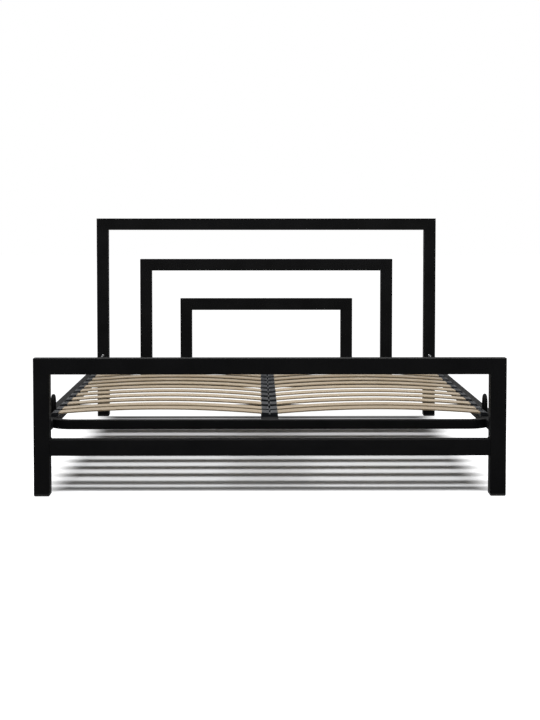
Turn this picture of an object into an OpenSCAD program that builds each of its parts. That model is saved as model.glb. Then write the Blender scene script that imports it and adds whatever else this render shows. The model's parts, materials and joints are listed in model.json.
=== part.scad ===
// Double bed frame in square steel tube, with a sprung base of bowed beech slats.
// X runs across the bed, Y from foot to head, Z up. The origin is on the floor under the middle.

/* [Overall] */
// Outside width across the legs
bed_w = 1536; // [1336:10:1736]
// Outside length, from the footboard's face to the headboard's back
bed_l = 2120; // [2120:10:2220]
// Height of the headboard
head_h = 900; // [840:5:1100]
// Height of the footboard
foot_h = 450; // [400:2:560]

/* [Board tube] */
// Side of the square tube of both boards
tube = 52; // [48:1:55]
// Its wall
tube_wall = 2; // [1.5:0.5:3]
// Its outer corner radius
tube_r = 3; // [2:0.5:4]

/* [Headboard] */
// Outside width of the middle arch
mid_arch_w = 1144; // [944:10:1184]
// Height of the middle arch
mid_arch_h = 716; // [660:2:720]
// Outside width of the inner arch
inner_arch_w = 780; // [600:2:800]
// Height of the inner arch
inner_arch_h = 537; // [480:1:550]
// Underside of the headboard's lower rail
head_low_z = 133; // [80:1:200]

/* [Footboard] */
// Underside of the footboard's lower rail
foot_low_z = 133; // [80:1:160]

/* [Foot caps] */
// Height of a cap under the tube
cap_h = 8; // [7:0.5:12]
// Radius of its lower edges
cap_r = 6; // [3:0.5:6]
// Height of the plug inside the tube
cap_plug_h = 22; // [12:1:40]

/* [Base frame] */
// Width of the side rails' flat tube
rail_w = 52; // [50:1:54]
// Width of the centre rail's flat tube
centre_w = 57; // [55:1:60]
// Height of the rails and of the end cross tubes, which are as deep as they are high
rail_h = 30; // [26:1:32]
// Wall of the base tubes
rail_wall = 1.5; // [1.2:0.1:2]
// Outer corner radius of the base tubes
rail_r = 2; // [1.5:0.5:2.5]
// Underside of the side rails
rail_z = 210; // [190:1:215]
// From the legs' outer face in to the side rail's outer face
rail_inset = 0; // [0:1:4]
// From a board's inner face to the face of its cross tube
cross_gap = 21; // [15:1:30]
// From the legs' outer face in to where a cross tube starts to bend
cross_bend_in = 113; // [111:1:140]
// Radius of that bend, at the tube's middle
cross_bend_r = 55; // [45:1:60]
// Height of the two middle cross tubes, which lie under the rails
brace_h = 15; // [12:1:18]
// From the middle of the bed to the front one
front_brace_y = 305; // [225:5:320]
// From the middle of the bed to the rear one
rear_brace_y = 440; // [415:5:500]

/* [End plates] */
// Thickness of a side rail's end plate
plate_t = 5; // [4:0.5:6]
// Width of the plate, which is in the middle of the leg
plate_w = 44; // [36:1:46]
// Height of the upper bolt
bolt_high_z = 277; // [270:1:285]
// Height of the lower bolt
bolt_low_z = 178; // [165:1:180]

/* [Slats] */
// Number of rows of slats
slat_rows = 14; // [8:1:14]
// From the footboard's face to the middle of the first row
slat_first = 210; // [208:1:214]
// From the first row to the second, and from the last but one to the last
slat_gap = 106; // [96:1:110]
// From each other row to the next
slat_pitch = 139; // [120:1:140]
// Width of a slat
slat_w = 68; // [45:1:68]
// Thickness of a slat
slat_t = 5; // [4.5:0.5:8]
// Rise of the bow from the slat's ends to its middle
slat_bow = 16.5; // [10:0.5:24]
// From the middle of the bed to a slat's inner end
slat_in_x = 7; // [6.5:0.5:8]
// From the legs' outer face in to a slat's outer end
slat_out = 40; // [39:1:42]
// Height of a slat's ends above the rails
slat_seat = 6; // [4:0.5:8]

/* [Slat holders] */
// Length of a holder along the rail
holder_l = 73; // [73:1:76]
// How far a holder laps over the slat
holder_grip = 20; // [16:1:20]
// Thickness of the holder over the slat
holder_lip = 1.5; // [1.5:0.5:3]
// Chamfer along its long top edges
holder_chamfer = 2.5; // [1:0.5:2.5]
// Distance between a holder's two pegs
peg_gap = 40; // [24:1:46]
// Diameter of a peg
peg_d = 8; // [6:0.5:10]

/* [Mattress retainers] */
// Diameter of the round bar
hoop_bar = 12; // [9:0.5:13]
// Outside width of the hoop
hoop_w = 65; // [60:1:100]
// Height of the hoop above the side rail
hoop_h = 60; // [56:1:110]

/* [Hidden] */
$fn = 48;
arc_fn = 1080;           // segments in a whole turn of the slats' very large arc
eps = 0.01;
cut = 1;                 // how far a cutting shape runs past what it cuts

half_w = bed_w / 2;
half_l = bed_l / 2;
foot_y = -half_l + tube / 2;          // middle of the footboard's tubes
head_y = half_l - tube / 2;           // middle of the headboard's tubes
inner_y = half_l - tube;              // the boards' faces towards the mattress
post_in_x = half_w - tube;            // the legs' inner faces

rail_out_x = half_w - rail_inset;
rail_in_x = rail_out_x - rail_w;
rail_mid_x = rail_out_x - rail_w / 2;
rail_top = rail_z + rail_h;
rail_end_y = inner_y - plate_t;

cross_y = inner_y - cross_gap - rail_h / 2;     // middle of a cross tube
cross_straight = half_w - cross_bend_in;        // half the straight length
cross_stub = 100;                               // straight run after the bend, before it is trimmed
plate_x = half_w - tube / 2;

bolt_r = 3.95;
bolt_head_r = 7;
bolt_head_h = 4.4;
bolt_dome_r = 9.3;       // radius of the head's dome
bolt_hex_r = 2.9;        // hexagon socket, across corners
bolt_l = 20;
nut_in_r = 4;
nut_out_r = 5.45;
nut_hole_r = 5.5;
nut_l = 17;
nut_bulge_r = 7.5;
nut_bulge_h = 4;

slat_out_x = half_w - slat_out;                 // outer end of a right-hand slat
slat_l = slat_out_x - slat_in_x;
slat_r = (pow(slat_l / 2, 2) + pow(slat_bow, 2)) / (2 * slat_bow);    // radius of its underside
slat_angle = asin(slat_l / 2 / slat_r);         // half the angle of its arc
slat_edge_r = 1.5;                              // rounding of the long edges
arc_x = (slat_in_x + slat_out_x) / 2;           // the arc's centre
arc_z = rail_top + slat_seat + slat_bow - slat_r;
pocket_gap = 0.2;                               // clearance of the slat in its pocket

holder_back = 7;                                // wall behind the slat's end
peg_inset = 2.5;                                // from the rail's inner wall to a peg
side_peg_x = rail_in_x + rail_wall + peg_inset + peg_d / 2;
holder_edge = 3;         // rounding of its corners in plan
holder_slope = 6;        // slope at the outer end of its top
web_w = 6;               // web between the two pockets of a centre holder
web_h = 7;
peg_l = 9;
peg_gap_r = 0.1;

hoop_r = (hoop_w - hoop_bar) / 2;               // radius of the hoop, at the bar's middle
hoop_gap = 1.5;                                 // between the hoop and the holder beside it
hoop_x = slat_out_x + holder_back + hoop_gap + hoop_bar / 2;

rows = [0 : slat_rows - 1];
closer = slat_pitch - slat_gap;                 // how much closer the first and last rows are
function row_y(i) = -half_l + slat_first + i * slat_pitch
    - (i > 0 ? closer : 0) - (i == slat_rows - 1 ? closer : 0);
function two_digits(n) = str(n < 10 ? "0" : "", n);
function slat_top_z(x) = arc_z + sqrt(pow(slat_r + slat_t, 2) - pow(x - arc_x, 2));
slats_left = [for (i = rows) str("slat_left_", two_digits(i + 1))];
slats_right = [for (i = rows) str("slat_right_", two_digits(i + 1))];

// ---- Shared shapes ----

module rounded_rect(w, h, r) {
    square([w - 2 * r, h], center = true);
    square([w, h - 2 * r], center = true);
    for (x = [-1, 1], y = [-1, 1])
        translate([x * (w / 2 - r), y * (h / 2 - r)]) circle(r);
}

module tube_section(w, h, wall, r) {
    difference() {
        rounded_rect(w, h, r);
        square([w - 2 * wall, h - 2 * wall], center = true);
    }
}

module board_section() { tube_section(tube, tube, tube_wall, tube_r); }

module mirrored_x() {
    children();
    mirror([1, 0, 0]) children();
}

module mirrored_y() {
    children();
    mirror([0, 1, 0]) children();
}

// A wedge that cuts a tube's end at 45 degrees through the outer corner (x, z).
// side = 1 takes away what lies above the mitre, side = -1 what lies below it.
module mitre_wedge(x, y, z, side) {
    a = tube + cut;
    corner = side > 0 ? [x - a, z + cut] : [x + cut, z - a];
    translate([0, y, 0]) rotate([90, 0, 0])
        linear_extrude(tube + 2 * cut, center = true)
            polygon([[x - a, z - a], [x + cut, z + cut], corner]);
}

// Right-hand upright with its outer face at x, mitred at the top
module upright(x, y, z0, z1) {
    difference() {
        translate([x - tube / 2, y, z0]) linear_extrude(z1 - z0) board_section();
        mitre_wedge(x, y, z1, 1);
    }
}

// Top rail between two mitred uprights
module mitred_rail(x, y, z1) {
    difference() {
        translate([-x, y, z1 - tube / 2]) rotate([90, 0, 90])
            linear_extrude(2 * x) board_section();
        mirrored_x() mitre_wedge(x, y, z1, -1);
    }
}

// Rail butted between the two posts of a board
module butted_rail(y, z0) {
    translate([-post_in_x, y, z0 + tube / 2]) rotate([90, 0, 90])
        linear_extrude(2 * post_in_x) board_section();
}

module at_bolts() {
    for (z = [bolt_low_z, bolt_high_z]) translate([plate_x, 0, z]) children();
}

// Leg or post with the two holes that its rivet nuts sit in
module post(y, height) {
    difference() {
        upright(half_w, y, cap_h, height);
        at_bolts() rotate([y < 0 ? -90 : 90, 0, 0]) translate([0, 0, inner_y - tube_wall - cut])
            cylinder(r = nut_hole_r, h = tube_wall + 2 * cut);
    }
}

// ---- Headboard ----

module headboard_post_right() { color("#1c1c1e") post(head_y, head_h); }
module headboard_post_left() { mirror([1, 0, 0]) headboard_post_right(); }
module headboard_top_rail() { color("#1c1c1e") mitred_rail(half_w, head_y, head_h); }
module headboard_lower_rail() { color("#1c1c1e") butted_rail(head_y, head_low_z); }

module arch_right(w, h) {
    color("#1c1c1e") upright(w / 2, head_y, head_low_z + tube, h);
}

module middle_arch_right() { arch_right(mid_arch_w, mid_arch_h); }
module middle_arch_left() { mirror([1, 0, 0]) middle_arch_right(); }
module middle_arch_top() { color("#1c1c1e") mitred_rail(mid_arch_w / 2, head_y, mid_arch_h); }
module inner_arch_right() { arch_right(inner_arch_w, inner_arch_h); }
module inner_arch_left() { mirror([1, 0, 0]) inner_arch_right(); }
module inner_arch_top() { color("#1c1c1e") mitred_rail(inner_arch_w / 2, head_y, inner_arch_h); }

// ---- Footboard ----

module footboard_leg_right() { color("#1c1c1e") post(foot_y, foot_h); }
module footboard_leg_left() { mirror([1, 0, 0]) footboard_leg_right(); }
module footboard_top_rail() { color("#1c1c1e") mitred_rail(half_w, foot_y, foot_h); }
module footboard_lower_rail() { color("#1c1c1e") butted_rail(foot_y, foot_low_z); }

// ---- Foot caps: a rounded pad under the tube and a plug inside it ----

module cap_side() {
    intersection() {
        translate([0, tube / 2]) rounded_rect(tube, tube, cap_r);
        translate([-tube / 2, 0]) square([tube, cap_h]);
    }
}

module foot_cap() {
    plug = tube - 2 * tube_wall - 0.4;
    intersection() {
        rotate([90, 0, 0]) linear_extrude(tube, center = true) cap_side();
        rotate([90, 0, 90]) linear_extrude(tube, center = true) cap_side();
        linear_extrude(cap_h) rounded_rect(tube, tube, tube_r);
    }
    translate([-plug / 2, -plug / 2, cap_h - eps]) cube([plug, plug, cap_plug_h + eps]);
}

module foot_caps() {
    color("#101010") mirrored_x() for (y = [foot_y, head_y])
        translate([half_w - tube / 2, y, 0]) foot_cap();
}

// ---- Base frame ----

module peg_holes(x) {
    for (i = rows, s = [-1, 1])
        translate([x, row_y(i) + s * peg_gap / 2, rail_top - rail_wall - cut])
            cylinder(d = peg_d + 2 * peg_gap_r, h = rail_wall + 2 * cut);
}

module side_rail_right() {
    color("#232325") difference() {
        translate([rail_mid_x, rail_end_y, rail_z + rail_h / 2]) rotate([90, 0, 0])
            linear_extrude(2 * rail_end_y) tube_section(rail_w, rail_h, rail_wall, rail_r);
        peg_holes(side_peg_x);
    }
}

module side_rail_left() { mirror([1, 0, 0]) side_rail_right(); }

module end_plates() {
    color("#232325") mirrored_x() mirrored_y()
        translate([0, inner_y, 0]) rotate([90, 0, 0]) linear_extrude(plate_t) difference() {
            union() {
                translate([plate_x - plate_w / 2, bolt_low_z])
                    square([plate_w, bolt_high_z - bolt_low_z]);
                for (z = [bolt_low_z, bolt_high_z]) translate([plate_x, z]) circle(plate_w / 2);
            }
            for (z = [bolt_low_z, bolt_high_z]) translate([plate_x, z]) circle(bolt_r + 0.5);
        }
}

module base_section() { tube_section(rail_h, rail_h, rail_wall, rail_r); }

// Straight across, bent back 45 degrees at each end and trimmed to the side rails' inner faces
module front_cross_tube() {
    color("#232325") translate([0, -cross_y, rail_z + rail_h / 2]) difference() {
        union() {
            translate([-cross_straight, 0, 0]) rotate([90, 0, 90])
                linear_extrude(2 * cross_straight) base_section();
            mirrored_x() translate([cross_straight, cross_bend_r, 0]) rotate([0, 0, -90]) {
                rotate_extrude(angle = 45) translate([cross_bend_r, 0]) base_section();
                rotate([0, 0, 45]) translate([cross_bend_r, 0, 0]) rotate([-90, 0, 0])
                    linear_extrude(cross_stub) base_section();
            }
        }
        mirrored_x() translate([rail_in_x, -rail_h, -rail_h])
            cube([4 * cross_stub, 8 * rail_h, 2 * rail_h]);
    }
}

module rear_cross_tube() { mirror([0, 1, 0]) front_cross_tube(); }

// A flat tube right across under the rails
module middle_cross_tube(y) {
    color("#232325") translate([-rail_out_x, y, rail_z - brace_h / 2]) rotate([90, 0, 90])
        linear_extrude(2 * rail_out_x) tube_section(rail_h, brace_h, rail_wall, rail_r);
}

module front_middle_cross_tube() { middle_cross_tube(-front_brace_y); }
module rear_middle_cross_tube() { middle_cross_tube(rear_brace_y); }

module centre_rail() {
    run = cross_y - rail_h / 2;
    color("#232325") difference() {
        translate([0, run, rail_z + rail_h / 2]) rotate([90, 0, 0])
            linear_extrude(2 * run) tube_section(centre_w, rail_h, rail_wall, rail_r);
        peg_holes(0);
    }
}

// ---- Mattress retainers: a hoop of round bar on the side rail, beside the second row's holder ----

module mattress_retainer_right() {
    leg = hoop_h - hoop_r - hoop_bar / 2;
    color("#1c1c1e") translate([hoop_x, row_y(1), rail_top]) {
        for (s = [-1, 1]) translate([0, s * hoop_r, 0]) cylinder(d = hoop_bar, h = leg);
        translate([0, 0, leg]) rotate([90, 0, 90])
            rotate_extrude(angle = 180) translate([hoop_r, 0]) circle(d = hoop_bar);
    }
}

module mattress_retainer_left() { mirror([1, 0, 0]) mattress_retainer_right(); }

// ---- Slats ----

// An arc of bent wood for a right-hand slat, made a little larger for a pocket
module slat_arc(gap) {
    translate([arc_x, 0, arc_z]) rotate([90, 0, 0])
        rotate([0, 0, 90 - slat_angle])
            rotate_extrude(angle = 2 * slat_angle, $fn = arc_fn)
                translate([slat_r + slat_t / 2, 0])
                    rounded_rect(slat_t + 2 * gap, slat_w + 2 * gap, slat_edge_r);
}

module slat_right(i) {
    color("#cdbf9f") translate([0, row_y(i), 0]) slat_arc(0);
}

module slat_left(i) { mirror([1, 0, 0]) slat_right(i); }

// ---- Slat holders: moulded pockets that peg into the rails ----

module pegs(x) {
    for (s = [-1, 1]) translate([x, s * peg_gap / 2, rail_top - peg_l])
        cylinder(d = peg_d, h = peg_l + 1);
}

// What a holder stays within: rounded corners in plan and chamfers along its long top edges
module holder_limits(x0, x1, top) {
    y1 = holder_l / 2;
    y0 = y1 - holder_chamfer;
    intersection() {
        translate([(x0 + x1) / 2, 0, rail_top])
            linear_extrude(top - rail_top) rounded_rect(x1 - x0, holder_l, holder_edge);
        translate([x0, 0, 0]) rotate([90, 0, 90]) linear_extrude(x1 - x0)
            polygon([[-y1, rail_top], [y1, rail_top], [y1, top - holder_chamfer], [y0, top],
                     [-y0, top], [-y1, top - holder_chamfer]]);
    }
}

module side_holder() {
    x0 = slat_out_x - holder_grip;
    x1 = slat_out_x + holder_back;
    z0 = slat_top_z(x0) + holder_lip;
    z1 = slat_top_z(x1 - holder_slope) + holder_lip;
    difference() {
        intersection() {
            rotate([90, 0, 0]) linear_extrude(holder_l, center = true)
                polygon([[x0, rail_top], [x1, rail_top], [x1, z1 - holder_slope],
                         [x1 - holder_slope, z1], [x0, z0]]);
            holder_limits(x0, x1, z0);
        }
        slat_arc(pocket_gap);
    }
    pegs(side_peg_x);
}

// Two pockets back to back over the centre rail, joined low down by a web
module centre_holder() {
    x0 = web_w / 2;
    x1 = slat_in_x + holder_grip;
    z0 = slat_top_z(x0) + holder_lip;
    z1 = slat_top_z(x1) + holder_lip;
    half_profile = [[0, rail_top + web_h], [x0, rail_top + web_h], [x0, z0 - 1], [x0 + 1, z0],
                    [x1, z1], [x1, rail_top], [0, rail_top]];
    difference() {
        intersection() {
            mirrored_x() rotate([90, 0, 0]) linear_extrude(holder_l, center = true)
                polygon(half_profile);
            holder_limits(-x1, x1, z1);
        }
        mirrored_x() slat_arc(pocket_gap);
    }
    pegs(0);
}

module slat_holders_right() {
    color("#4a4d52") for (i = rows) translate([0, row_y(i), 0]) side_holder();
}

module slat_holders_left() { mirror([1, 0, 0]) slat_holders_right(); }

module slat_holders_centre() {
    color("#4a4d52") for (i = rows) translate([0, row_y(i), 0]) centre_holder();
}

// ---- Fasteners ----

// At the head end, with +Z pointing into the post from the end plate's face
module at_joints() {
    mirrored_x() mirrored_y() translate([0, rail_end_y, 0]) at_bolts() rotate([-90, 0, 0]) children();
}

// A button head on the plate's face, with a hexagon socket
module button_head() {
    difference() {
        intersection() {
            translate([0, 0, -bolt_head_h]) cylinder(r = bolt_head_r, h = bolt_head_h);
            translate([0, 0, bolt_dome_r - bolt_head_h]) sphere(r = bolt_dome_r);
        }
        translate([0, 0, -bolt_head_h - cut]) cylinder(r = bolt_hex_r, h = 3 + cut, $fn = 6);
    }
}

module frame_bolts() {
    color("#b9bcc0") at_joints() {
        cylinder(r = bolt_r, h = bolt_l);
        button_head();
    }
}

module rivet_nuts() {
    color("#a8a79f") at_joints() translate([0, 0, plate_t]) difference() {
        union() {
            cylinder(r = nut_out_r, h = nut_l);
            translate([0, 0, tube_wall]) cylinder(r = nut_bulge_r, h = nut_bulge_h);
        }
        translate([0, 0, -cut]) cylinder(r = nut_in_r, h = nut_l + 2 * cut);
    }
}

headboard_post_left();
headboard_post_right();
headboard_top_rail();
headboard_lower_rail();
middle_arch_left();
middle_arch_right();
middle_arch_top();
inner_arch_left();
inner_arch_right();
inner_arch_top();
footboard_leg_left();
footboard_leg_right();
footboard_top_rail();
footboard_lower_rail();
foot_caps();
side_rail_left();
side_rail_right();
end_plates();
front_cross_tube();
rear_cross_tube();
front_middle_cross_tube();
rear_middle_cross_tube();
centre_rail();
mattress_retainer_left();
mattress_retainer_right();
slat_holders_left();
slat_holders_right();
slat_holders_centre();
frame_bolts();
rivet_nuts();
for (i = rows) {
    slat_left(i);
    slat_right(i);
}
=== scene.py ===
"""Metal bed frame: finishes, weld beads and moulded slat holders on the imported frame."""

import json
import math

import bmesh
import bpy
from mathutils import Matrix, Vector


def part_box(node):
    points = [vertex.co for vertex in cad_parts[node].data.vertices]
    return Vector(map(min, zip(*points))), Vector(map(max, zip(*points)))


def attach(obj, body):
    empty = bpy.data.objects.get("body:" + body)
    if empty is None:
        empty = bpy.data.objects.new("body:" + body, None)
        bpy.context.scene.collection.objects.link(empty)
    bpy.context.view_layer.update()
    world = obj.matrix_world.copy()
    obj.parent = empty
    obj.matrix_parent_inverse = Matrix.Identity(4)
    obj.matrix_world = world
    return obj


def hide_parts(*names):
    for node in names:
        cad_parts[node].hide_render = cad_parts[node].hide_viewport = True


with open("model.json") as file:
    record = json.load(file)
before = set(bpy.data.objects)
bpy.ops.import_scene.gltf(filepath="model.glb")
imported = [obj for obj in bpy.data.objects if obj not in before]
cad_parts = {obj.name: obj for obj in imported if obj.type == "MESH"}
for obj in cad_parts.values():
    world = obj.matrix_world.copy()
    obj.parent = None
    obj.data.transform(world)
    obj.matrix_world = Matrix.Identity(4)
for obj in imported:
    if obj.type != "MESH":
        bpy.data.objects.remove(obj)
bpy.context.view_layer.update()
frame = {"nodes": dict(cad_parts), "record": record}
nodes = frame["nodes"]

MM = 0.001


# ---------------------------------------------------------------- camera

CAMERA_AT = (-0.0426, -6.1733, 0.9106)
CAMERA_PITCH = 3.0          # degrees below level
CAMERA_YAW = -0.473         # degrees, turned a little to the right
CAMERA_LENS = 79.23         # mm, on a sensor 36 mm along the long side
CAMERA_SHIFT_Y = -0.0845


def add_camera():
    data = bpy.data.cameras.new("view")
    data.sensor_width = 36.0
    data.lens = CAMERA_LENS
    data.shift_y = CAMERA_SHIFT_Y
    camera = bpy.data.objects.new("view", data)
    camera.location = CAMERA_AT
    camera.rotation_euler = (
        math.radians(90.0 - CAMERA_PITCH),
        0.0,
        math.radians(CAMERA_YAW),
    )
    bpy.context.scene.collection.objects.link(camera)
    bpy.context.scene.camera = camera


# ---------------------------------------------------------------- shader maths


class Value:
    """A shader socket that adds its own Math nodes when it is used in an expression."""

    def __init__(self, tree, socket):
        self.tree = tree
        self.socket = socket

    def node(self, kind, settings, inputs):
        """Any other node: its type, its settings, then the values or links of its sockets."""
        made = self.tree.nodes.new(kind)
        for key, value in settings.items():
            setattr(made, key, value)
        for key, value in inputs.items():
            socket = made.inputs[key]
            if isinstance(value, Value):
                self.tree.links.new(value.socket, socket)
            else:
                socket.default_value = value
        return Value(self.tree, made.outputs[0])

    def math(self, operation, *others):
        return self.node(
            "ShaderNodeMath", {"operation": operation}, dict(enumerate((self, *others)))
        )

    def __add__(self, other):
        return self.math("ADD", other)

    __radd__ = __add__

    def __mul__(self, other):
        return self.math("MULTIPLY", other)

    __rmul__ = __mul__

    def __sub__(self, other):
        return self.math("SUBTRACT", other)

    def __rsub__(self, other):
        return (self * -1.0) + other

    def __truediv__(self, other):
        return self.math("DIVIDE", other)

    def step(self, low, high):
        """0 below low and 1 above high, with a smooth climb between."""
        return self.node(
            "ShaderNodeMapRange",
            {"interpolation_type": "SMOOTHSTEP"},
            {"Value": self, "From Min": low, "From Max": high},
        )

    def xyz(self):
        split = self.tree.nodes.new("ShaderNodeSeparateXYZ")
        self.tree.links.new(self.socket, split.inputs[0])
        return [Value(self.tree, out) for out in split.outputs]

    def stretched(self, scale):
        return self.node(
            "ShaderNodeVectorMath",
            {"operation": "MULTIPLY"},
            {0: self, 1: scale},
        )

    def noise(self, scale, detail=3.0, rough=0.5):
        return self.node(
            "ShaderNodeTexNoise",
            {},
            {"Vector": self, "Scale": scale, "Detail": detail, "Roughness": rough},
        )

    def mixed(self, a, b):
        """Colour a where this is 0 and colour b where it is 1."""
        made = self.tree.nodes.new("ShaderNodeMix")
        made.data_type = "RGBA"
        self.tree.links.new(self.socket, made.inputs[0])
        for place, value in ((6, a), (7, b)):
            if isinstance(value, Value):
                self.tree.links.new(value.socket, made.inputs[place])
            else:
                made.inputs[place].default_value = (*value, 1.0)
        return Value(self.tree, made.outputs[2])

    def bump(self, distance, strength=1.0):
        return self.node(
            "ShaderNodeBump",
            {},
            {"Height": self, "Distance": distance, "Strength": strength},
        )


def new_material(name, **constants):
    """A material with a Principled shader, and its Object coordinates."""
    material = bpy.data.materials.new(name)
    material.use_nodes = True
    tree = material.node_tree
    shader = tree.nodes["Principled BSDF"]
    for key, value in constants.items():
        shader.inputs[key.replace("_", " ").title().replace("Ior", "IOR")].default_value = value
    where = Value(tree, tree.nodes.new("ShaderNodeTexCoord").outputs["Object"])
    return material, shader, where


def feed(shader, socket, value):
    value.tree.links.new(value.socket, shader.inputs[socket])


# ---------------------------------------------------------------- materials


def powder_coat():
    """Satin black powder coat: a faint orange peel and uneven gloss."""
    material, shader, where = new_material("black_powder_coat", specular_ior_level=0.025)
    peel = where.noise(420.0, 2.0)
    cloud = where.noise(9.0, 4.0)
    black = cloud.step(0.3, 0.7).mixed((0.0062, 0.0062, 0.0065), (0.0086, 0.0086, 0.0090))
    feed(shader, "Base Color", black)
    feed(shader, "Roughness", cloud * 0.10 + peel * 0.08 + 0.50)
    feed(shader, "Normal", peel.bump(0.00012, 0.35))
    return material


def bent_beech():
    """Laminated beech: grain along the slat, veneer lines on the edges, a tone for each slat."""
    material, shader, where = new_material("bent_beech", specular_ior_level=0.12)
    x, y, z = where.xyz()
    later = y.math("GREATER_THAN", (FIRST_ROW_Y + SECOND_ROW_Y) / 2)
    row = later * (((y - SECOND_ROW_Y) / ROW_PITCH + 0.5).math("FLOOR") + 1.0)
    column = x.math("SIGN")
    seed = row * 7.31 + column * 3.77
    tone = seed.node("ShaderNodeTexWhiteNoise", {"noise_dimensions": "1D"}, {"W": seed})
    shifted = where.node(
        "ShaderNodeCombineXYZ", {}, {0: x + seed * 1.7, 1: y + seed * 0.37, 2: z}
    )
    fibre = shifted.stretched((3.0, 260.0, 260.0)).noise(1.0, 5.0, 0.62)
    band = shifted.stretched((0.9, 26.0, 26.0)).noise(1.0, 3.0)
    fleck = shifted.stretched((55.0, 900.0, 900.0)).noise(1.0, 1.0).step(0.60, 0.72)

    # height above the underside of the bent slat, from the axis of its bow
    across = x.math("ABSOLUTE") - SLAT_AXIS_X
    rise = z - SLAT_AXIS_Z
    depth = (across * across + rise * rise).math("SQRT") - SLAT_RADIUS
    ply = (depth / PLY_THICKNESS).math("FRACT")
    line = (ply - 0.5).math("ABSOLUTE").step(0.40, 0.49)
    inside = depth.step(0.4 * MM, 0.9 * MM) * (1.0 - depth.step(SLAT_THICK - 0.9 * MM, SLAT_THICK - 0.4 * MM))
    glue = line * inside
    odd = ((depth / PLY_THICKNESS).math("FLOOR") * 0.5).math("FRACT") * 2.0 * inside

    pale = tone.mixed((0.43, 0.352, 0.25), (0.355, 0.283, 0.195))
    warm = tone.mixed((0.36, 0.281, 0.187), (0.302, 0.23, 0.146))
    wood = (fibre.step(0.35, 0.70) * 0.75 + band * 0.35).mixed(pale, warm)
    wood = (fleck * 0.35).mixed(wood, (0.33, 0.22, 0.13))
    wood = (odd * 0.30).mixed(wood, (0.36, 0.27, 0.17))
    wood = (glue * 0.75).mixed(wood, (0.14, 0.09, 0.05))
    feed(shader, "Base Color", wood)
    feed(shader, "Roughness", fibre * 0.18 + band * 0.10 + 0.30)
    feed(shader, "Normal", (fibre * 0.6 - fleck * 0.4 - glue * 0.6).bump(0.00025, 0.5))
    return material


def moulded_plastic(name, dark, pale, rough):
    """Moulded plastic with a fine spark-eroded texture."""
    material, shader, where = new_material(name, specular_ior_level=0.22)
    grain = where.noise(1400.0, 2.0)
    cloud = where.noise(35.0, 3.0)
    feed(shader, "Base Color", cloud.step(0.3, 0.7).mixed(dark, pale))
    feed(shader, "Roughness", grain * 0.15 + cloud * 0.08 + rough)
    feed(shader, "Normal", grain.bump(0.00006, 0.4))
    return material


def bright_zinc():
    """Zinc plate: a cool, slightly uneven metal."""
    material, shader, where = new_material("bright_zinc", metallic=1.0)
    cloud = where.noise(160.0, 3.0)
    turned = where.noise(1100.0, 1.0)
    feed(shader, "Base Color", cloud.mixed((0.36, 0.365, 0.37), (0.28, 0.285, 0.285)))
    feed(shader, "Roughness", cloud * 0.18 + turned * 0.10 + 0.16)
    feed(shader, "Normal", turned.bump(0.00004, 0.3))
    return material


# ---------------------------------------------------------------- places read from the frame


def row_y(row):
    low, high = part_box(f"slat_right_{row:02d}")
    return (low[1] + high[1]) / 2


ROWS = len([name for name in nodes if name.startswith("slat_right_")])
ROW_YS = [row_y(row) for row in range(1, ROWS + 1)]
FIRST_ROW_Y = ROW_YS[0]
SECOND_ROW_Y = ROW_YS[1]
ROW_PITCH = ROW_YS[2] - ROW_YS[1]

# a slat is bent about one axis, level from end to end
SLAT_THICK = 5.0 * MM
slat_low, slat_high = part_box("slat_right_01")
SLAT_BOW = slat_high[2] - slat_low[2] - SLAT_THICK
SLAT_SPAN = slat_high[0] - slat_low[0]
SLAT_LENGTH = SLAT_SPAN - 2 * SLAT_THICK * 4 * SLAT_BOW / SLAT_SPAN
SLAT_RADIUS = ((SLAT_LENGTH / 2) ** 2 + SLAT_BOW**2) / (2 * SLAT_BOW)
SLAT_AXIS_X = (slat_low[0] + slat_high[0]) / 2
SLAT_AXIS_Z = slat_high[2] - SLAT_THICK - SLAT_RADIUS
PLY_THICKNESS = SLAT_THICK / 5


def slat_top(x):
    """Height of a slat's upper face at a distance from the middle of the bed."""
    reach = SLAT_RADIUS + SLAT_THICK
    return SLAT_AXIS_Z + math.sqrt(reach**2 - (x - SLAT_AXIS_X) ** 2)


# ---------------------------------------------------------------- finishes of the CAD nodes


def finish_cad_nodes(materials):
    slots = {row["node"]: row["material_slot"] for row in frame["record"]["subparts"]}
    for name, node in nodes.items():
        node.data.materials.clear()
        node.data.materials.append(materials[slots[name]])


# ---------------------------------------------------------------- modelling helpers

SHARP_ANGLE = math.radians(35.0)
SMOOTH_ANGLE = math.radians(40.0)


def deselect():
    if bpy.context.mode != "OBJECT":
        bpy.ops.object.mode_set(mode="OBJECT")
    bpy.ops.object.select_all(action="DESELECT")


def select(*pieces):
    """Selects only these, with the first one active."""
    deselect()
    for piece in pieces:
        piece.select_set(True)
    bpy.context.view_layer.objects.active = pieces[0]


def finished(piece, name, material):
    """Puts a modelled piece's place into its mesh, and hands it to the frame."""
    select(piece)
    bpy.ops.object.transform_apply(location=True, rotation=True, scale=True)
    piece.name = name
    piece.data.name = name
    piece.data.materials.clear()
    piece.data.materials.append(material)
    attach(piece, "root")
    deselect()
    return piece


def joined(parts, name, material):
    select(*parts)
    bpy.ops.object.join()
    return finished(bpy.context.view_layer.objects.active, name, material)


def merged(parts):
    """Joins the parts of one pattern into a single object with its place in its mesh."""
    select(*parts)
    bpy.ops.object.join()
    bpy.ops.object.transform_apply(location=True, rotation=True, scale=True)
    return bpy.context.view_layer.objects.active


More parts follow.
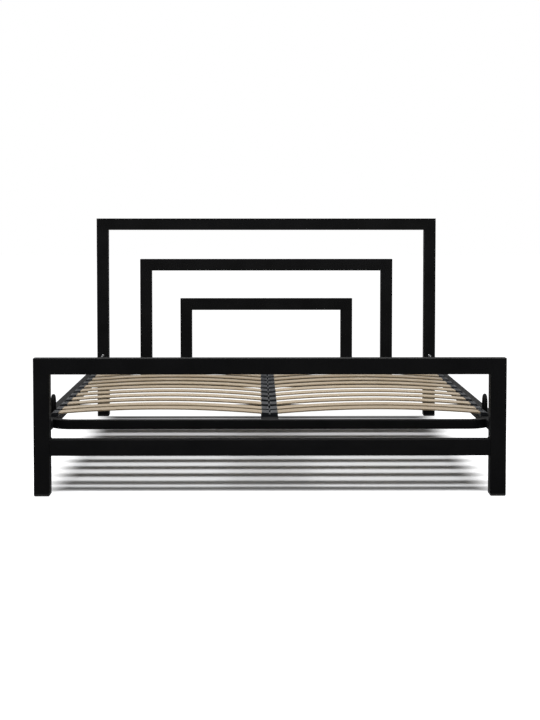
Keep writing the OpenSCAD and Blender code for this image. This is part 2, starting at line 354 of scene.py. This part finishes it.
def pick(kind, wanted):
    """In edit mode, selects only the VERT, EDGE or FACE elements for which wanted() holds."""
    bpy.ops.mesh.select_mode(type=kind)
    bpy.ops.mesh.select_all(action="DESELECT")
    data = bpy.context.edit_object.data
    shape = bmesh.from_edit_mesh(data)
    for part in {"VERT": shape.verts, "EDGE": shape.edges, "FACE": shape.faces}[kind]:
        if wanted(part):
            part.select_set(True)
    shape.select_flush_mode()
    bmesh.update_edit_mesh(data)


def middle(edge):
    return (edge.verts[0].co + edge.verts[1].co) / 2


def runs_along(edge, axis):
    along = edge.verts[1].co - edge.verts[0].co
    return along.length > 0 and abs(along[axis]) > 0.9 * along.length


def near(a, b):
    return abs(a - b) < 0.05 * MM


def block(low, high):
    """A cube stretched between two corners, left in edit mode."""
    deselect()
    bpy.ops.mesh.primitive_cube_add(
        size=1.0,
        location=[(a + b) / 2 for a, b in zip(low, high)],
        scale=[b - a for a, b in zip(low, high)],
    )
    bpy.ops.object.transform_apply(location=True, rotation=True, scale=True)
    bpy.ops.object.mode_set(mode="EDIT")
    return bpy.context.object


def softened(piece, width):
    """Rounds the piece's sharp edges a little, as moulding leaves them."""
    select(piece)
    bevel = piece.modifiers.new("edge", "BEVEL")
    bevel.width = width
    bevel.segments = 1
    bevel.limit_method = "ANGLE"
    bevel.angle_limit = SHARP_ANGLE
    bpy.ops.object.modifier_apply(modifier=bevel.name)
    bpy.ops.object.shade_smooth_by_angle(angle=SMOOTH_ANGLE)
    return piece


def copied(pattern, at, turn=(0.0, 0.0, 0.0), mirror=1.0):
    copy = pattern.copy()
    copy.data = pattern.data.copy()
    copy.location = at
    copy.rotation_euler = [math.radians(angle) for angle in turn]
    copy.scale = (mirror, 1.0, 1.0)
    bpy.context.scene.collection.objects.link(copy)
    return copy


def faces_out(piece):
    """Turns every face outwards again after mirroring."""
    select(piece)
    bpy.ops.object.mode_set(mode="EDIT")
    bpy.ops.mesh.select_all(action="SELECT")
    bpy.ops.mesh.normals_make_consistent(inside=False)
    deselect()


# ---------------------------------------------------------------- slat holders

HOLDER_LIP = 1.5 * MM
POCKET_GAP = 0.2 * MM
END_SLOPE = 6.0 * MM        # chamfer at a side holder's outer end
SIDE_CHAMFER = 2.5 * MM
CORNER_ROUND = 3.0 * MM
WEB_WIDTH = 6.0 * MM
WEB_HEIGHT = 7.0 * MM
PEG_RADIUS = 4.0 * MM
PEG_LENGTH = 9.0 * MM
PEG_FROM_MIDDLE = 20.0 * MM
PEG_FROM_RAIL_EDGE = 8.0 * MM
POCKET_DEPTH = 20.2 * MM
PANEL_DEPTH = 0.5 * MM
PANEL_STRIPS = 5
PANEL_BORDER = 3.0 * MM
PANEL_RIB = 1.6 * MM
PANEL_LEAST = 100.0 * MM * MM
ROOF_FACING = 0.97          # least upward part of a roof face's normal
MOULD_EDGE = 0.35 * MM
WEB_BORDER = 1.6 * MM
WEB_GROOVE = 1.5 * MM
WEB_EDGE = 0.3 * MM
PEG_TIP = 1.2 * MM
PEG_WALL = 0.9 * MM

rail_low, rail_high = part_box("side_rail_right")
side_low, side_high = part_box("slat_holders_right")
_, centre_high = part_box("slat_holders_centre")
RAIL_TOP = rail_high[2]
HOLDER_HALF = ROW_YS[0] - side_low[1]
SLAT_HALF = (slat_high[1] - slat_low[1]) / 2


def pocket_body(mouth, back, back_slope):
    """The pocket's outside, left in edit mode."""
    inward = 1.0 if back > mouth else -1.0
    tall = slat_top(mouth) + HOLDER_LIP
    low_back = slat_top(back - inward * back_slope) + HOLDER_LIP
    piece = block(
        (min(mouth, back), -HOLDER_HALF, RAIL_TOP), (max(mouth, back), HOLDER_HALF, tall)
    )

    # slope the roof down to the back, and the end of it further down
    pick("EDGE", lambda e: near(middle(e).x, back) and near(middle(e).z, tall))
    bpy.ops.mesh.bevel(offset=back_slope, offset_type="OFFSET", segments=1)
    pick("VERT", lambda v: v.co.z > RAIL_TOP + MM and not near(v.co.x, mouth))
    bpy.ops.transform.translate(value=(0, 0, low_back - tall))

    # chamfer the long edges of the roof and round the corners at the back
    pick(
        "EDGE",
        lambda e: near(abs(middle(e).y), HOLDER_HALF)
        and middle(e).z > tall - 2 * END_SLOPE
        and not runs_along(e, 2),
    )
    bpy.ops.mesh.bevel(offset=SIDE_CHAMFER, offset_type="OFFSET", segments=2)
    pick(
        "EDGE",
        lambda e: runs_along(e, 2) and near(middle(e).x, back) and abs(middle(e).y) > SLAT_HALF,
    )
    bpy.ops.mesh.bevel(offset=CORNER_ROUND, offset_type="OFFSET", segments=3)
    return piece


def open_mouth(mouth, inward):
    """Cuts the mouth out of the end face, and runs the pocket in along the slat."""
    floor = slat_top(mouth) - SLAT_THICK - POCKET_GAP
    ceiling = slat_top(mouth) + POCKET_GAP
    wide = SLAT_HALF + POCKET_GAP
    for at, facing in (
        ((0, wide, 0), (0, 1, 0)),
        ((0, -wide, 0), (0, 1, 0)),
        ((0, 0, floor), (0, 0, 1)),
        ((0, 0, ceiling), (0, 0, 1)),
    ):
        pick("FACE", lambda f: f.normal.x * inward < -0.9)
        bpy.ops.mesh.bisect(plane_co=at, plane_no=facing)
    pick(
        "FACE",
        lambda f: f.normal.x * inward < -0.9
        and abs(f.calc_center_median().y) < MM
        and floor < f.calc_center_median().z < ceiling,
    )
    drop = slat_top(mouth + inward * POCKET_DEPTH) - slat_top(mouth)
    bpy.ops.mesh.extrude_region_move(
        TRANSFORM_OT_translate={"value": (inward * POCKET_DEPTH, 0, drop)}
    )


def on_roof(face):
    return face.normal.z > ROOF_FACING and face.calc_area() > PANEL_LEAST


def sink_panels(length):
    """Sinks shallow panels into the roof, with ribs left between them."""
    pick("FACE", on_roof)
    bpy.ops.mesh.inset(thickness=PANEL_BORDER)
    edge = HOLDER_HALF - SIDE_CHAMFER - PANEL_BORDER
    for strip in range(1, PANEL_STRIPS):
        across = edge * (2.0 * strip / PANEL_STRIPS - 1.0)
        side = PANEL_RIB / 2
        for place in (across - side, across + side):
            pick("FACE", lambda f: on_roof(f) and abs(f.calc_center_median().y) < edge)
            bpy.ops.mesh.bisect(plane_co=(0, place, 0), plane_no=(0, 1, 0))
    inside = length - 2 * PANEL_BORDER
    pick(
        "FACE",
        lambda f: f.normal.z > ROOF_FACING
        and f.calc_area() > 0.8 * inside * (2 * edge / PANEL_STRIPS - PANEL_RIB)
        and f.calc_area() < 1.2 * inside * (2 * edge / PANEL_STRIPS)
        and abs(f.calc_center_median().y) < edge,
    )
    bpy.ops.mesh.extrude_region_move(TRANSFORM_OT_translate={"value": (0, 0, -PANEL_DEPTH)})


def pocket(mouth, back, back_slope):
    """A moulded pocket that a slat's end slides into, open at mouth and closed at back."""
    piece = pocket_body(mouth, back, back_slope)
    open_mouth(mouth, 1.0 if back > mouth else -1.0)
    sink_panels(abs(mouth - back) - back_slope)
    bpy.ops.object.mode_set(mode="OBJECT")
    return softened(piece, MOULD_EDGE)


def peg(x, y):
    """A hollow peg with a tapered tip, under a holder."""
    deselect()
    bpy.ops.mesh.primitive_cylinder_add(
        vertices=16,
        radius=PEG_RADIUS,
        depth=PEG_LENGTH + MM,
        location=(x, y, RAIL_TOP - PEG_LENGTH / 2 + MM / 2),
    )
    piece = bpy.context.object
    bpy.ops.object.transform_apply(location=True)
    bpy.ops.object.mode_set(mode="EDIT")
    pick("FACE", lambda f: f.normal.z < -0.9)
    bpy.ops.mesh.bevel(offset=PEG_TIP, offset_type="OFFSET", segments=1)
    pick("FACE", lambda f: f.normal.z < -0.9)
    bpy.ops.mesh.inset(thickness=PEG_WALL)
    bpy.ops.mesh.extrude_region_move(
        TRANSFORM_OT_translate={"value": (0, 0, PEG_LENGTH - 2 * MM)}
    )
    bpy.ops.object.mode_set(mode="OBJECT")
    bpy.ops.object.shade_smooth_by_angle(angle=SMOOTH_ANGLE)
    return piece


def web():
    """The low bridge between the two pockets of a centre holder, with a groove along it."""
    half = WEB_WIDTH / 2 + MM
    piece = block((-half, -HOLDER_HALF, RAIL_TOP), (half, HOLDER_HALF, RAIL_TOP + WEB_HEIGHT))
    pick("FACE", lambda f: f.normal.z > 0.9)
    bpy.ops.mesh.inset(thickness=WEB_BORDER)
    bpy.ops.mesh.extrude_region_move(TRANSFORM_OT_translate={"value": (0, 0, -WEB_GROOVE)})
    bpy.ops.object.mode_set(mode="OBJECT")
    return softened(piece, WEB_EDGE)


def slat_holders(material):
    """Each holder is modelled once, and copied to every row."""
    side_x = rail_low[0] + PEG_FROM_RAIL_EDGE
    side = merged(
        [pocket(side_low[0], side_high[0], END_SLOPE)]
        + [peg(side_x, y) for y in (-PEG_FROM_MIDDLE, PEG_FROM_MIDDLE)]
    )
    half = pocket(centre_high[0], WEB_WIDTH / 2, MM)
    other = copied(half, (0, 0, 0), mirror=-1.0)
    centre = merged(
        [half, other, web()] + [peg(0, y) for y in (-PEG_FROM_MIDDLE, PEG_FROM_MIDDLE)]
    )
    faces_out(centre)
    for pattern, node, mirror in (
        (side, "slat_holders_right", 1.0),
        (side, "slat_holders_left", -1.0),
        (centre, "slat_holders_centre", 1.0),
    ):
        rows = [copied(pattern, (0, y, 0), mirror=mirror) for y in ROW_YS]
        piece = joined(rows, "moulded_" + node, material)
        if mirror < 0:
            faces_out(piece)
        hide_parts(node)
    for pattern in (side, centre):
        bpy.data.objects.remove(pattern)


# ---------------------------------------------------------------- weld beads

WELD_LEG = 2.6 * MM
WELD_STEP = 2.4 * MM        # from one ripple to the next
WELD_SWELL = 0.30 * MM
LONG_WELD = 46.0 * MM
PLATE_WELD = 40.0 * MM
SHORT_WELD = 26.0 * MM
BEAD_SIDES = 8
RING_STEPS = 20
RING_SIZE = 0.8 * WELD_LEG
BEAD_SMOOTH_ANGLE = math.radians(50.0)
hoop_low, hoop_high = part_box("mattress_retainer_right")
BAR_RADIUS = (hoop_high[0] - hoop_low[0]) / 2


def straight_bead(length):
    """A rippled fillet of weld along X, drawn in at both ends."""
    deselect()
    bpy.ops.mesh.primitive_cylinder_add(
        vertices=BEAD_SIDES, radius=WELD_LEG, depth=length, rotation=(0, math.radians(90.0), 0)
    )
    bead = bpy.context.object
    bpy.ops.object.transform_apply(rotation=True)
    bpy.ops.object.mode_set(mode="EDIT")
    pick("EDGE", lambda e: runs_along(e, 0))
    steps = 2 * round(length / WELD_STEP / 2)
    bpy.ops.mesh.subdivide(number_cuts=steps - 1)
    pick("VERT", lambda v: round((v.co.x / length + 0.5) * steps) % 2 == 1)
    bpy.ops.transform.shrink_fatten(value=WELD_SWELL)
    pick("VERT", lambda v: abs(v.co.x) > length / 2 - 0.1 * MM)
    bpy.ops.transform.resize(value=(1.0, 0.5, 0.5), center_override=(0, 0, 0))
    bpy.ops.object.mode_set(mode="OBJECT")
    bpy.ops.object.shade_smooth_by_angle(angle=BEAD_SMOOTH_ANGLE)
    return bead


def ring_bead():
    """A rippled bead round the foot of a bar."""
    deselect()
    bpy.ops.mesh.primitive_torus_add(
        major_radius=BAR_RADIUS,
        minor_radius=RING_SIZE,
        major_segments=RING_STEPS,
        minor_segments=BEAD_SIDES,
    )
    bead = bpy.context.object
    bpy.ops.object.mode_set(mode="EDIT")
    pick("VERT", lambda v: round(math.atan2(v.co.y, v.co.x) / math.tau * RING_STEPS) % 2 == 1)
    bpy.ops.transform.shrink_fatten(value=WELD_SWELL)
    bpy.ops.object.mode_set(mode="OBJECT")
    bpy.ops.object.shade_smooth_by_angle(angle=BEAD_SMOOTH_ANGLE)
    return bead


def board_beads(long_bead):
    """Under and over the lower rails' ends, and beside the feet of the arches."""
    beads = []
    for rail in ("headboard_lower_rail", "footboard_lower_rail"):
        low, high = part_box(rail)
        y = (low[1] + high[1]) / 2
        beads += [
            copied(long_bead, (x, y, z), (0, 0, 90))
            for x in (low[0], high[0])
            for z in (low[2], high[2])
        ]
    for upright in ("middle_arch_left", "middle_arch_right", "inner_arch_left", "inner_arch_right"):
        low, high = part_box(upright)
        y = (low[1] + high[1]) / 2
        beads += [copied(long_bead, (x, y, low[2]), (0, 0, 90)) for x in (low[0], high[0])]
    return beads


def end_plate_beads(plate_bead):
    low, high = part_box("footboard_leg_right")
    x = (low[0] + high[0]) / 2
    return [
        copied(plate_bead, (side * x, end * rail_high[1], z))
        for side in (-1, 1)
        for end in (-1, 1)
        for z in (rail_low[2], rail_high[2])
    ]


def rail_joint_beads(short_bead):
    """Up the sides of the cross tubes' ends and of the centre rail's ends."""
    low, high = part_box("rear_cross_tube")
    middle_z = (low[2] + high[2]) / 2
    cut = math.sqrt(2.0) * (high[2] - low[2])
    centre_box_low, centre_box_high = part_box("centre_rail")
    places = [(high[0], low[1]), (high[0], low[1] + cut), (centre_box_high[0], centre_box_high[1])]
    return [
        copied(short_bead, (side * x, end * y, middle_z), (0, 90, 0))
        for x, y in places
        for side in (-1, 1)
        for end in (-1, 1)
    ]


def brace_beads(long_bead):
    """Along both sides of the middle cross tubes, under each rail."""
    side_middle = (rail_low[0] + rail_high[0]) / 2
    beads = []
    for brace in ("front_middle_cross_tube", "rear_middle_cross_tube"):
        low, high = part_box(brace)
        beads += [
            copied(long_bead, (x, y, high[2]))
            for x in (-side_middle, 0.0, side_middle)
            for y in (low[1], high[1])
        ]
    return beads


def retainer_beads(ring):
    x = (hoop_low[0] + hoop_high[0]) / 2
    return [
        copied(ring, (side * x, y, hoop_low[2]))
        for side in (-1, 1)
        for y in (hoop_low[1] + BAR_RADIUS, hoop_high[1] - BAR_RADIUS)
    ]


def weld_beads(material):
    long_bead = straight_bead(LONG_WELD)
    plate_bead = straight_bead(PLATE_WELD)
    short_bead = straight_bead(SHORT_WELD)
    ring = ring_bead()
    joined(board_beads(long_bead), "weld_beads_boards", material)
    base = end_plate_beads(plate_bead) + rail_joint_beads(short_bead) + brace_beads(long_bead)
    joined(base + retainer_beads(ring), "weld_beads_base", material)
    for pattern in (long_bead, plate_bead, short_bead, ring):
        bpy.data.objects.remove(pattern)


# ---------------------------------------------------------------- floor, world and lights

FLOOR_SIZE = 60.0
FLOOR_PAINT = (0.71, 0.72, 0.735, 1.0)
# the floor turns from shaded to plain white between these distances from the bed's middle
CLEAN_BESIDE = (0.665, 0.80)
CLEAN_BEFORE = (0.90, 1.03)
CLEAN_BEHIND = (0.98, 1.06)
WHITE = (1.0, 1.0, 1.0, 1.0)


def add_floor():
    deselect()
    bpy.ops.mesh.primitive_plane_add(size=FLOOR_SIZE, location=(0, 0, 0))
    floor = bpy.context.object
    floor.name = "floor"
    material = bpy.data.materials.new("floor_white")
    material.use_nodes = True
    tree = material.node_tree
    tree.nodes.clear()
    out = tree.nodes.new("ShaderNodeOutputMaterial")
    where = Value(tree, tree.nodes.new("ShaderNodeTexCoord").outputs["Object"])
    x, y, _ = where.xyz()
    beside = x.math("ABSOLUTE").step(*CLEAN_BESIDE)
    before = (y * -1.0).step(*CLEAN_BEFORE)
    behind = y.step(*CLEAN_BEHIND)
    clean = beside.math("MAXIMUM", before).math("MAXIMUM", behind)
    path = tree.nodes.new("ShaderNodeLightPath")
    seen = Value(tree, path.outputs["Is Camera Ray"])
    gloss = Value(tree, path.outputs["Is Glossy Ray"])
    glow = (seen + gloss) * clean
    paint = where.node("ShaderNodeBsdfDiffuse", {}, {"Color": FLOOR_PAINT})
    light = where.node("ShaderNodeEmission", {}, {"Color": WHITE, "Strength": glow})
    both = where.node("ShaderNodeAddShader", {}, {0: paint, 1: light})
    tree.links.new(both.socket, out.inputs["Surface"])
    floor.data.materials.append(material)
    deselect()


def add_world():
    """White where the camera looks and in the gloss towards the back, and a soft room elsewhere."""
    world = bpy.data.worlds.new("room")
    bpy.context.scene.world = world
    world.use_nodes = True
    tree = world.node_tree
    tree.nodes.clear()
    out = tree.nodes.new("ShaderNodeOutputWorld")
    direction = Value(tree, tree.nodes.new("ShaderNodeTexCoord").outputs["Generated"])
    _, y, z = direction.xyz()
    path = tree.nodes.new("ShaderNodeLightPath")
    seen = Value(tree, path.outputs["Is Camera Ray"])
    gloss = Value(tree, path.outputs["Is Glossy Ray"])
    room = z.step(-0.1, 0.9) * 0.05 + 0.06
    shine = y.step(0.0, 0.3) * 0.95 + 0.05
    level = seen + gloss * shine + (1.0 - seen) * (1.0 - gloss) * room
    back = direction.node("ShaderNodeBackground", {}, {"Color": WHITE, "Strength": level})
    tree.links.new(back.socket, out.inputs["Surface"])


def add_area(name, at, aim, size, watts):
    data = bpy.data.lights.new(name, "AREA")
    data.shape = "RECTANGLE"
    data.size, data.size_y = size
    data.energy = watts
    lamp = bpy.data.objects.new(name, data)
    lamp.location = at
    direction = Vector(aim) - Vector(at)
    lamp.rotation_euler = direction.to_track_quat("-Z", "Y").to_euler()
    bpy.context.scene.collection.objects.link(lamp)
    return lamp


def add_lights():
    add_area("strip_over_bed", (0.0, -0.46, 1.875), (0.0, -0.46, 0.0), (2.4, 0.24), 42.0)
    fill = add_area("front_fill", (0.0, -5.5, 1.4), (0.0, 0.0, 0.3), (4.0, 1.6), 75.0)
    fill.visible_glossy = False


# ---------------------------------------------------------------- build

add_camera()
steel = powder_coat()
beech = bent_beech()
holder = moulded_plastic("grey_holder_plastic", (0.016, 0.0175, 0.0205), (0.023, 0.025, 0.029), 0.40)
cap = moulded_plastic("black_cap_plastic", (0.010, 0.010, 0.010), (0.016, 0.016, 0.016), 0.45)
zinc = bright_zinc()
finish_cad_nodes(
    {
        "frame_steel": steel,
        "slat_wood": beech,
        "holder_plastic": holder,
        "cap_plastic": cap,
        "zinc_steel": zinc,
    }
)
slat_holders(holder)
weld_beads(steel)
add_floor()
add_world()
add_lights()

scene = bpy.context.scene
scene.view_settings.view_transform = "Standard"
